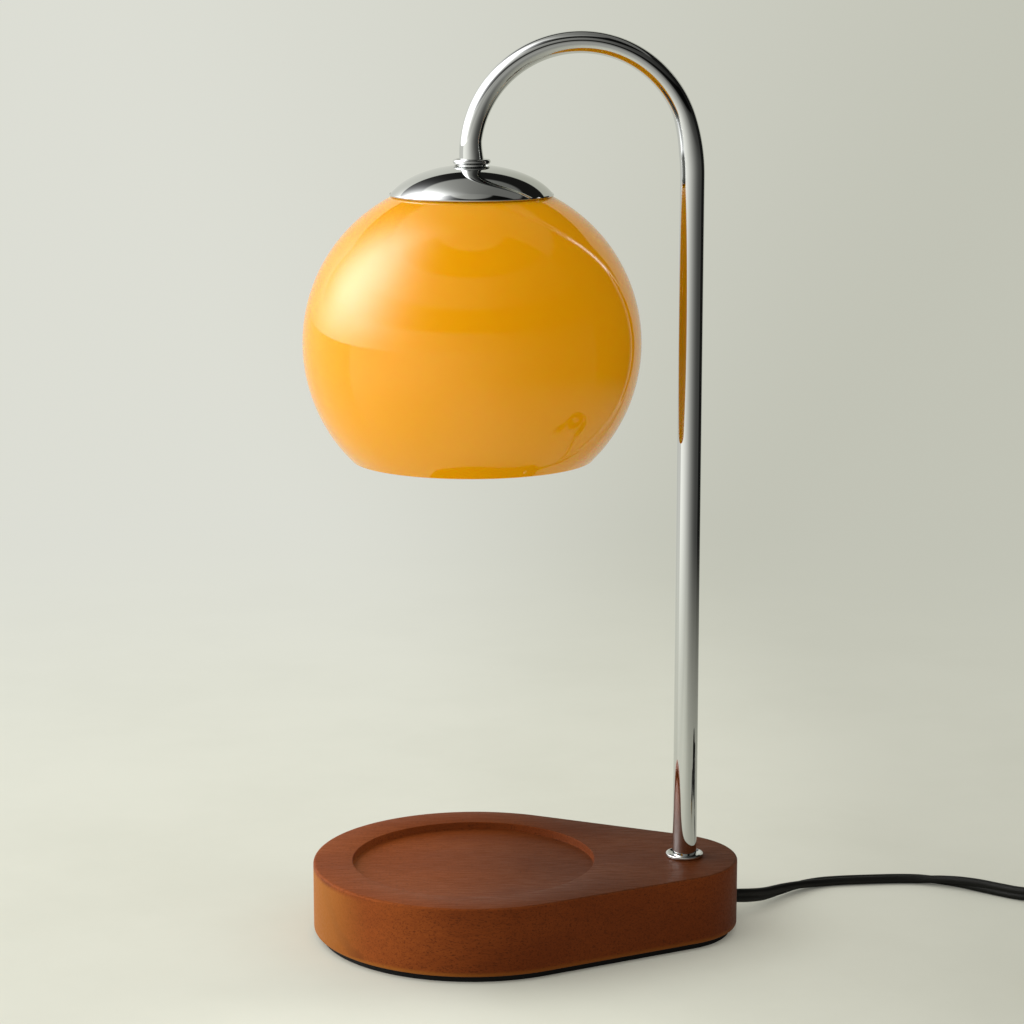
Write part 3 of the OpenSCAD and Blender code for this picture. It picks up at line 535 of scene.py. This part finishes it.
# ---------------------------------------------------------------- Foam pad
# Black foam cut to the base's outline and glued under the wood, set back from its edge.
# Like every plain finish here it has a faint unevenness, which shifts the roughness and
# lifts or sinks the surface by a hair, at the scale that suits the stuff it is on.
uneven, takes, gives = group("fine_unevenness",
    [("Across", "NodeSocketFloat", 900.0), ("Along", "NodeSocketFloat", 900.0),
        ("Roughness", "NodeSocketFloat", 0.4), ("Spread", "NodeSocketFloat", 0.1)],
    [("Roughness", "NodeSocketFloat"), ("Height", "NodeSocketFloat"), ("Patches", "NodeSocketFloat")])
where = new_node(uneven, "ShaderNodeTexCoord").outputs["Object"]
stretch = new_node(uneven, "ShaderNodeCombineXYZ")
for i, socket in enumerate(("Along", "Across", "Across")):
    feed(uneven, stretch.inputs[i], takes[socket])
scaled = new_node(uneven, "ShaderNodeVectorMath", operation="MULTIPLY")
feed(uneven, scaled.inputs[0], where)
feed(uneven, scaled.inputs[1], stretch.outputs[0])
grit = noise(uneven, scaled.outputs[0], 1.0, 5.0, 0.6)
patches = noise(uneven, where, 45.0, 3.0)
shift = reckon(uneven, "SUBTRACT", reckon(uneven, "MULTIPLY_ADD", grit, 0.5,
    reckon(uneven, "MULTIPLY", patches, 0.5)), 0.5)
feed(uneven, gives["Roughness"], reckon(uneven, "MULTIPLY_ADD", shift, takes["Spread"], takes["Roughness"]))
feed(uneven, gives["Height"], grit)
feed(uneven, gives["Patches"], patches)


def finish(name, colour, rough, spread=0.1, across=900.0, along=900.0, bump=0.05, deep=0.00005,
        patchy=0.0, darker=0.7, **shader):
    """A material with fine unevenness; patchy mixes in a darker tone of its colour."""
    made = bpy.data.materials.new(name)
    made.use_nodes = True
    tree = made.node_tree
    look = tree.nodes["Principled BSDF"]
    skin = new_node(tree, "ShaderNodeGroup", node_tree=uneven)
    for key, value in {"Across": across, "Along": along, "Roughness": rough, "Spread": spread}.items():
        skin.inputs[key].default_value = value
    feed(tree, look.inputs["Roughness"], skin.outputs["Roughness"])
    relief = new_node(tree, "ShaderNodeBump")
    relief.inputs["Strength"].default_value = bump
    relief.inputs["Distance"].default_value = deep
    feed(tree, relief.inputs["Height"], skin.outputs["Height"])
    feed(tree, look.inputs["Normal"], relief.outputs[0])
    look.inputs["Base Color"].default_value = (*colour, 1)
    if patchy:
        tone = [c * darker for c in colour]
        factor = reckon(tree, "MULTIPLY", skin.outputs["Patches"], patchy)
        feed(tree, look.inputs["Base Color"], blend(tree, factor, (*colour, 1), (*tone, 1)))
    for key, value in shader.items():
        look.inputs[key.replace("_", " ")].default_value = value
    return made


def dress(material, *nodes):
    """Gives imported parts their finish."""
    for name in nodes:
        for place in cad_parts[name].material_slots:
            place.material = material


foam = finish("black_foam_pad", (0.006, 0.006, 0.006), 0.85, spread=0.2, across=2400, along=2400,
    bump=0.6, deep=0.0002, patchy=0.6, Specular_IOR_Level=0.2)
dress(foam, "base_pad")

# ---------------------------------------------------------------- Post and arch
# One length of 8.8 mm steel tube, bent over a former into the arch and mirror-chromed.
# Bending has flattened it by 1 mm in the arch, on the inside of the bend. It stands on a
# threaded stud in a dished flange and ends on the collar over the cap.
TUBE_R, TUBE_WALL, FOOT_Z, NECK_Z = 4.4, 0.8, 28.3, 283.8
LEAN_R, LEAN_Z, LEAN, ARCH_R, ARCH_Z = 64, 277.8, 18, 38.37, 285.73
FLATTENED, FLARE_H = 1.0, 6.5
chrome = finish("mirror_chrome", (0.62, 0.63, 0.625), 0.025, spread=0.02, across=260, along=260,
    bump=0.015, Metallic=1.0)
# straight up, over by 18 degrees in a wide bend, and round and down in the narrow arch
path = [(REACH, FOOT_Z + (LEAN_Z - FOOT_Z) * k / 40) for k in range(41)]
for k in range(1, 13):
    angle = math.radians(LEAN * k / 12)
    path.append((REACH - LEAN_R + LEAN_R * math.cos(angle), LEAN_Z + LEAN_R * math.sin(angle)))
for k in range(1, 91):
    angle = math.radians(LEAN + (180 - LEAN) * k / 90)
    path.append((ARCH_R + ARCH_R * math.cos(angle), ARCH_Z + ARCH_R * math.sin(angle)))
path += [(0, NECK_Z + 1), (0, NECK_Z)]


def tube_rings(inward, sides=72):
    """Rings of the tube's outside, or of its bore when they lie inward by the wall."""
    rings = []
    for i, (px, pz) in enumerate(path):
        before, after = path[max(i - 1, 0)], path[min(i + 1, len(path) - 1)]
        lean = math.atan2(after[1] - before[1], after[0] - before[0])
        neck = max(0, 1 - (pz - NECK_Z) / FLARE_H) if px < 3 else 0
        bent = min(max((pz - 286) / 14, 0), 1) if px > 38 else 1 - 0.9 * neck
        flat = TUBE_R - inward - FLATTENED / 2 * bent
        wide = TUBE_R - inward + 0.2 * bent + 0.2 * neck ** 1.5
        ring = []
        for a in turns(sides):
            # across the bend the outer side stays put and the inner side moves out
            out = flat * math.cos(a) - FLATTENED / 2 * bent
            ring.append((px - out * math.sin(lean), wide * math.sin(a), pz + out * math.cos(lean)))
        rings.append(ring)
    return rings


tube = shell("gooseneck_tube", tube_rings(0) + list(reversed(tube_rings(TUBE_WALL))), looped=True)
fit(tube, chrome, "lamp", "chrome", "post_tube")


def eased(corners, arc=8):
    """A closed profile of radius and height, with every corner rounded by its third number."""
    row = []
    for i, (r, h, ease) in enumerate(corners):
        if not ease:
            row.append((r, h))
            continue
        here = Vector((r, h))
        a = Vector(corners[i - 1][:2]) - here
        b = Vector(corners[(i + 1) % len(corners)][:2]) - here
        half = a.angle(b) / 2
        ease = min(ease, 0.49 * min(a.length, b.length) * math.tan(half))
        reach = ease / math.tan(half)
        start, end = here + a.normalized() * reach, here + b.normalized() * reach
        middle = here + (a.normalized() + b.normalized()).normalized() * (ease / math.sin(half))
        s, e = start - middle, end - middle
        sweep = s.angle(e)
        for k in range(arc + 1):
            t = k / arc
            p = middle + (s * math.sin((1 - t) * sweep) + e * math.sin(t * sweep)) / math.sin(sweep)
            row.append((p.x, p.y))
    return row


def turned(name, profile, at=(0, 0), steps=144):
    """A turned piece: the closed profile swept round the upright axis at a point."""
    return shell(name, [[(at[0] + r * math.cos(a), at[1] + r * math.sin(a), h) for r, h in profile]
        for a in turns(steps)], looped=True)


flange = turned("foot_flange_dish", eased([(4.2, 27.5, 0), (6.7, 27.5, 0.2), (6.95, 27.9, 0.3),
    (6.85, 28.75, 0.3), (6.0, 29.0, 0.35), (5.1, 28.45, 0.3), (4.5, 28.35, 0.05), (4.45, 28.3, 0),
    (4.2, 28.3, 0)]), (REACH, 0))
fit(flange, chrome, "lamp", "chrome", "foot_flange")

# ---------------------------------------------------------------- Foot fasteners and wiring
# In the wood's pocket a zinc-plated washer, lock washer and nut pull the post down by its
# stud. A nylon clamp holds the cord's end, and crimp caps join it to two lamp wires in
# white sleeving, which run up through the tube.
zinc = finish("zinc_plated_steel", (0.55, 0.55, 0.56), 0.32, spread=0.25, bump=0.1, patchy=0.6, Metallic=1.0)
nylon = finish("natural_nylon", (0.72, 0.69, 0.6), 0.42, spread=0.12, patchy=0.4, darker=0.88,
    Subsurface_Weight=0.1, Subsurface_Scale=0.002)
vinyl = finish("black_cord_vinyl", (0.007, 0.007, 0.006), 0.5, spread=0.16, across=1400, along=500,
    bump=0.12, patchy=0.5, Specular_IOR_Level=0.16)
sleeving = finish("white_sleeving", (0.78, 0.76, 0.7), 0.6, spread=0.1, across=2200, along=2200,
    bump=0.25, patchy=0.4, darker=0.85)
dress(zinc, "foot_stud", "base_washer", "base_lock_washer", "base_nut", "clamp_screws")
dress(nylon, "cord_clamp", "crimp_caps")
dress(vinyl, "cord_inner")
dress(sleeving, "lamp_wires")

# ---------------------------------------------------------------- Collar and cap
# Turned collar brazed to the tube's end, a thin washer under it, and a dome of 0.8 mm
# sheet spun over a former, with its rim rolled into a bead. All are mirror-chromed, and
# a stud, spacer, gallery and nylon ring inside hold the cap, gaskets and glass together.
DOME_WIDE, DOME_HIGH, DOME_Z, CAP_R, RIM_Z, BEAD, SHEET = 31, 16.4, 265.6, 29.1, 271.6, 0.6, 0.8


def bead_points(x, z, wide, high, start, end, count):
    """Points round a rolled or turned bead, from one angle to another."""
    return [(x + wide * math.cos(math.radians(a)), z + high * math.sin(math.radians(a)))
        for a in [start + (end - start) * k / count for k in range(count + 1)]]


def dome(inward, start, end, count):
    """Points of the dome's elliptic outline between two radii, from the axis outwards."""
    wide, high = DOME_WIDE - inward, DOME_HIGH - inward
    a, b = math.asin(start / wide), math.asin(end / wide)
    return [(wide * math.sin(a + (b - a) * k / count), DOME_Z + high * math.cos(a + (b - a) * k / count))
        for k in range(count + 1)]


profile = [(2.25, 267.6), (4.0, 267.6), (4.0, 282.2)] + bead_points(5.72, 283.1, 0.98, 0.9, -95, 125, 22)
profile += [(4.95, 283.8), (4.6, 283.7), (3.5, 283.7), (3.5, 288), (2.25, 288)]
collar = turned("neck_collar", profile)
fit(collar, chrome, "lamp", "chrome", "neck_fitting")
washer = turned("neck_washer_thin", eased([(4.05, 281.3, 0), (5.15, 281.3, 0), (5.15, 282.2, 0.2),
    (4.05, 282.2, 0)]))
fit(washer, chrome, "lamp", "chrome", "neck_washer")
profile = [(4.2, 281.3), (5.95, 281.3), (6.0, 281.6)] + dome(0, 6.4, CAP_R - 0.25, 56)
profile += bead_points(CAP_R - BEAD, RIM_Z, BEAD, BEAD, 25, -180, 20)
profile += list(reversed(dome(SHEET, 6.6, CAP_R - 1.2, 32))) + [(4.2, 280.5)]
cap = turned("spun_cap", profile, steps=192)
fit(cap, chrome, "lamp", "chrome", "shade_cap")
silicone = finish("clear_silicone", (0.72, 0.72, 0.69), 0.38, spread=0.1, patchy=0.4, darker=0.85,
    Subsurface_Weight=0.2, Subsurface_Scale=0.002)
dress(zinc, "neck_spacer", "shade_gallery", "neck_lock_washer", "neck_nut", "socket_bracket", "socket_screws")
dress(nylon, "shade_ring")
dress(silicone, "cap_gasket", "ring_gasket")

# ---------------------------------------------------------------- Glass shade
# Blown globe of opal glass, amber all through and 3 mm thick. The bottom mouth is cut
# and fire-polished round; the top hangs between the cap and the ring under it.
GLASS_R, BULGE, GLASS_Z, GLASS_T, MOUTH_R, CROWN_R = 58.8, 1.6, 218.6, 3, 43.25, 21


def globe(radius, low, high, count):
    """Arc of the glass from one angle below the widest part to one above it."""
    return [(BULGE + radius * math.cos(a), GLASS_Z + radius * math.sin(a)) for a in
        [math.radians(low + (high - low) * k / count) for k in range(count + 1)]]


low = -math.degrees(math.acos((MOUTH_R - BULGE) / GLASS_R))
high = math.degrees(math.acos((CROWN_R - BULGE) / GLASS_R))
mouth_z = GLASS_Z + GLASS_R * math.sin(math.radians(low))
inside = GLASS_R - GLASS_T
low_inside = math.degrees(math.asin((mouth_z - GLASS_Z) / inside))
lip = eased([(*globe(GLASS_R, low + 5, high, 1)[0], 0), (MOUTH_R, mouth_z, 1.0),
    (*globe(inside, low_inside, high, 1)[0], 1.0), (*globe(inside, low_inside + 5, high, 1)[0], 0)], 6)
profile = list(reversed(lip)) + globe(GLASS_R, low + 5, high, 110)[1:]
profile += list(reversed(globe(inside, low_inside + 5, high, 60)[1:]))
glass = turned("glass_globe", profile, steps=256)
amber_glass = finish("amber_opal_glass", (0.785, 0.343, 0.002), 0.045, spread=0.03, across=40, along=40,
    bump=0.03, deep=0.0003, patchy=0.2, darker=0.95, Subsurface_Weight=0.6, Subsurface_Scale=0.004,
    IOR=1.5, Specular_Tint=(1.0, 0.92, 0.97, 1), Subsurface_Radius=(1.0, 0.45, 0.03))
fit(glass, amber_glass, "lamp", "amber_glass", "glass_shade")

# ---------------------------------------------------------------- Lamp holder and bulb
# Glazed ceramic twist-lock holder on a folded steel strap, with brass contacts, and a
# reflector bulb with a ceramic base, steel pins, a mirrored glass bowl, a pressed front
# lens and a quartz capsule.
ceramic = finish("glazed_ceramic", (0.82, 0.8, 0.75), 0.2, spread=0.1, patchy=0.4, darker=0.92)
brass = finish("bright_brass", (0.74, 0.55, 0.25), 0.24, spread=0.08, across=500, along=500, bump=0.03,
    patchy=0.15, Metallic=1.0)
mirror = finish("mirrored_bowl", (0.82, 0.84, 0.88), 0.08, spread=0.05, across=300, along=300, bump=0.25,
    deep=0.0004, Metallic=1.0)
clear = finish("pressed_clear_glass", (0.93, 0.95, 0.97), 0.04, spread=0.03, across=500, along=500,
    bump=0.3, deep=0.0005, Transmission_Weight=0.85)
quartz = finish("quartz_glass", (0.92, 0.94, 0.97), 0.05, spread=0.03, Transmission_Weight=0.7)
dress(ceramic, "lamp_socket", "bulb_base")
dress(zinc, "bulb_pins")
dress(brass, "socket_contacts")
dress(mirror, "bulb_reflector")
dress(clear, "bulb_lens")
dress(quartz, "bulb_capsule")

# ---------------------------------------------------------------- Dimmer
# Two moulded half shells held by screws from below, with a knurled thumb wheel in the
# side. Inside are a small circuit board, a potentiometer and two terminal blocks.
DIMMER_X, DIMMER_Y, HALF_LONG, HALF_BROAD, CORNER, WALL = 257, 21, 25, 12, 6, 1.6
SPLIT_Z, DIMMER_H, SCREW_HOLE_R = 8.2, 16, 2.15
WHEEL_X, WHEEL_Y, WHEEL_Z, WHEEL_R, SHAFT_R, GRIPS = 259, 24.5, 7.4, 11, 2.95, 40


def rounded_ring(x, y, half_x, half_y, corner, z, arc=8):
    """Rounded rectangle at one height."""
    ring = []
    for sx, sy, start in ((1, 1, 0), (-1, 1, 90), (-1, -1, 180), (1, -1, 270)):
        for k in range(arc + 1):
            a = math.radians(start + 90 * k / arc)
            ring.append((x + sx * (half_x - corner) + corner * math.cos(a),
                y + sy * (half_y - corner) + corner * math.sin(a), z))
    return ring


def block(name, half_x, half_y, corner, low, high, ease_low=0.0, ease_high=0.0):
    """Upright block in the dimmer's place, with round corners and eased top and bottom edges."""
    pairs = []
    for z, ease, upward in ((low, ease_low, False), (high, ease_high, True)):
        pairs += eased_edge(z, ease, upward) if ease else [(0, z)]
    return shell(name, [rounded_ring(DIMMER_X, DIMMER_Y, half_x - i, half_y - i, max(corner - i, 0.2), z)
        for i, z in pairs])


def hollow(low, high):
    return block("hollow", HALF_LONG - WALL, HALF_BROAD - WALL, CORNER - WALL, low, high)


def wheel_slot():
    return rod("slot", WHEEL_R + 0.6, (WHEEL_X, WHEEL_Y, WHEEL_Z - 0.4),
        (WHEEL_X, WHEEL_Y, WHEEL_Z + 4.2), 96)


def cord_entry():
    return block("entry", 27, 1.65, 0.4, 2.85, 8.35)


case = finish("black_moulded_plastic", (0.018, 0.018, 0.019), 0.42, spread=0.16, across=2600, along=2600,
    bump=0.22, patchy=0.5)
bottom = block("dimmer_case_bottom", HALF_LONG, HALF_BROAD, CORNER, 0, SPLIT_Z, 1.2, 0.25)
cut(bottom, hollow(WALL, 12), wheel_slot(), cord_entry(), *[rod("screw_hole", SCREW_HOLE_R,
    (x, DIMMER_Y - 8.6, -1), (x, DIMMER_Y - 8.6, 1.5)) for x in (240, 274)])
fit(bottom, case, "lamp", "black_plastic", "dimmer_bottom")
top = block("dimmer_case_top", HALF_LONG, HALF_BROAD, CORNER, SPLIT_Z, DIMMER_H, 0.25, 2.2)
cut(top, hollow(4, DIMMER_H - WALL), wheel_slot(), cord_entry())
fit(top, case, "lamp", "black_plastic", "dimmer_top")


def wheel_ring(radius, z, knurled=False):
    """Ring about the wheel's axis, round or with grips along it."""
    ring = []
    for a in turns(240):
        r = radius * (1 - 0.45 / WHEEL_R * (0.5 - 0.5 * math.cos(a * GRIPS)) ** 2) if knurled else radius
        ring.append((WHEEL_X + r * math.cos(a), WHEEL_Y + r * math.sin(a), z))
    return ring


rings = [wheel_ring(0.001, 4.8), wheel_ring(SHAFT_R, 4.8), wheel_ring(SHAFT_R, 7.4)]
rings += [wheel_ring(WHEEL_R - shrink, z, True) for shrink, z in
    ((0.35, 7.4), (0.12, 7.45), (0, 7.7), (0, 10.9), (0.12, 11.15), (0.35, 11.2))]
rings += [wheel_ring(SHAFT_R, 11.2), wheel_ring(SHAFT_R, 14), wheel_ring(0.001, 14)]
wheel = shell("thumb_wheel_knurled", rings, capped=False)
fit(wheel, case, "thumb_wheel", "black_plastic", "dimmer_wheel")
board = finish("green_circuit_board", (0.02, 0.16, 0.05), 0.3, spread=0.1, patchy=0.6)
dress(board, "dimmer_board")
dress(zinc, "dimmer_pot", "dimmer_screws")
dress(nylon, "dimmer_terminals")

# ---------------------------------------------------------------- Plug and coil strap
# Moulded plug with two brass blades, finger grips and a ribbed, tapered sleeve over the
# cord, and a soft strap closed round all loops of the stored coil.
PLUG_Y, PLUG_Z, PLUG_HALF_Y, PLUG_HALF_Z = -71, 6.75, 12, 6.75


def plug_ring(x, half_y, half_z):
    corner = min(half_y, half_z, 5.2) - 0.01
    return [(x, y, z) for y, z, _ in rounded_ring(PLUG_Y, PLUG_Z, half_y, half_z, corner, 0, 10)]


# stations along the plug: x, half width and half height
stations = [(262, 3.0, 3.0), (261.6, 3.4, 3.4)]
for k in range(7):
    x, r = 260.6 - 3 * k, 3.4 + 0.24 * k
    stations += [(x - dx, r + dr, r + dr) for dx, dr in ((0, 0), (0.3, -0.5), (1.1, -0.5), (1.4, 0.1))]
stations += [(239.4, 5.2, 5.2), (238.4, 7.6, 5.5), (236.4, 9.6, 5.9), (234, 10.6, 6.15), (232.6, 11.4, 6.5),
    (231.6, 11.9, 6.7), (230.6, PLUG_HALF_Y, PLUG_HALF_Z)]
for k in range(4):
    x = 229.2 - 3.2 * k
    stations += [(x - dx, PLUG_HALF_Y - dip, PLUG_HALF_Z) for dx, dip in
        ((0, 0), (0.5, 0.5), (1.3, 0.5), (1.8, 0))]
stations += [(213, PLUG_HALF_Y, PLUG_HALF_Z), (212.3, 11.7, 6.45), (212, 11.1, 5.9)]
plug = shell("plug_moulding", [plug_ring(*station) for station in stations])
fit(plug, case, "lamp", "black_plastic", "plug_body")
dress(brass, "plug_blades")

# the strap runs along y for 10 mm round the middle of the loops on the coil's left
STRAP_X, STRAP_Z, STRAP_HALF_X, STRAP_HALF_Z = COIL_X - 29.125, 6.5, 9.575, 5.7


def strap_ring(dy, thick, corner):
    return [(STRAP_X + x, COIL_Y + dy, STRAP_Z + z) for x, z, _ in
        rounded_ring(0, 0, STRAP_HALF_X + thick, STRAP_HALF_Z + thick, corner, 0, 6)]


strap_rings = [strap_ring(dy, thick, 2.6) for dy, thick in ((-5, 0.62), (-4.8, 0.8), (4.8, 0.8), (5, 0.62))]
strap_rings += [strap_ring(dy, 0, 1.9) for dy in (5, -5)]
strap = shell("coil_strap", strap_rings, looped=True)
fit(strap, vinyl, "lamp", "black_cord", "coil_tie")

# ---------------------------------------------------------------- Cord lengths
# The two lengths of the cord take their vinyl here, once the dimmer, plug and strap that
# sit on them are made.
fit(cord_lead, vinyl, "lamp", "black_cord", "cord_lead")
fit(cord_supply, vinyl, "lamp", "black_cord", "cord_link", "cord_coil", "cord_tail")
